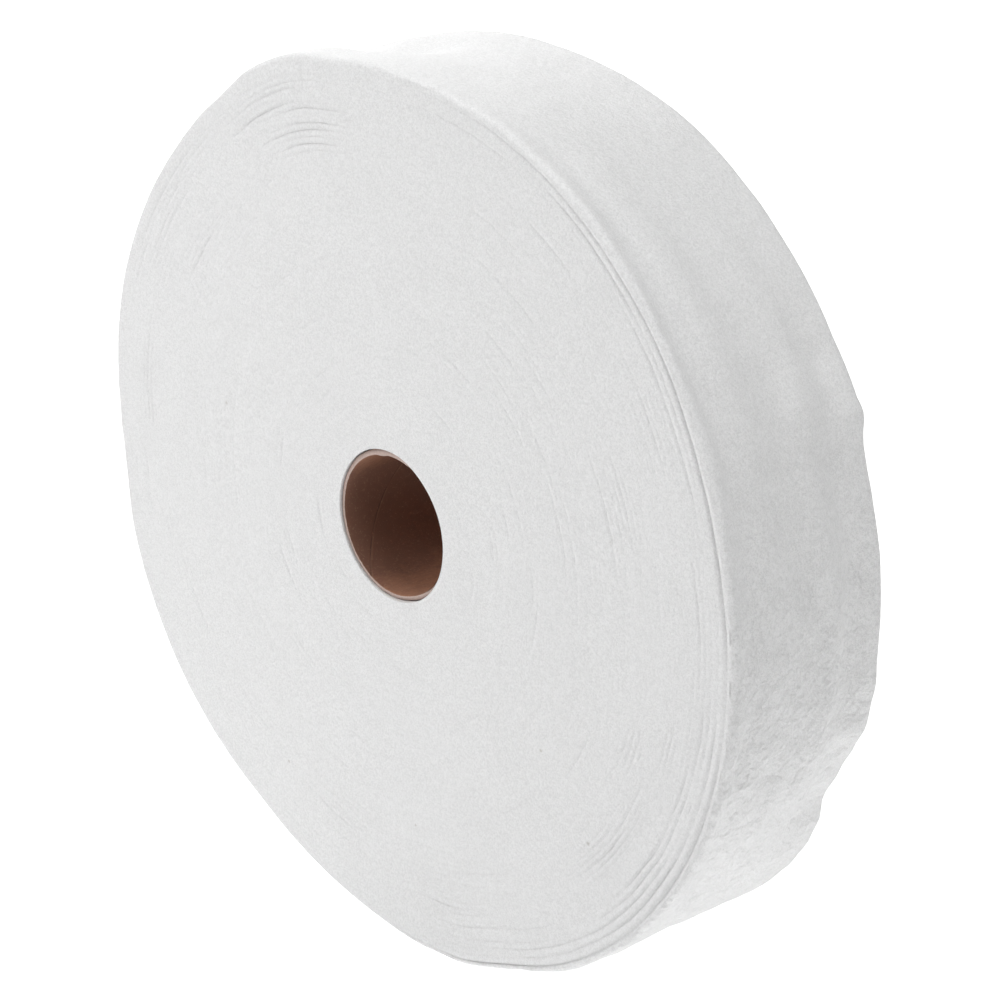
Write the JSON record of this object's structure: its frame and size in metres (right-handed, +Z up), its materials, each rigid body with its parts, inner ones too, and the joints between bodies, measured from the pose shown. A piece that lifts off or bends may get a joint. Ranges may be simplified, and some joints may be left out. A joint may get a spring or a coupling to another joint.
{
  "type": "roll of batting strip on a paper core",
  "caption": "Thick round roll of white needled batting strip, wound on a brown paper core and standing on its edge.",
  "frame": {"origin": "on the ground, straight below the middle of the core", "axes": "+Z up, and Y along the roll's axis: the front face looks along -Y and the back face along +Y"},
  "size_m": [0.265, 0.0582, 0.2644],
  "materials": {
    "batting": "matte, soft needled fibre",
    "kraft_paper": "matte brown kraft paper"
  },
  "bodies": {
    "root": {"batting_roll": "batting", "core_tube": "kraft_paper"}
  },
  "joints": []
}
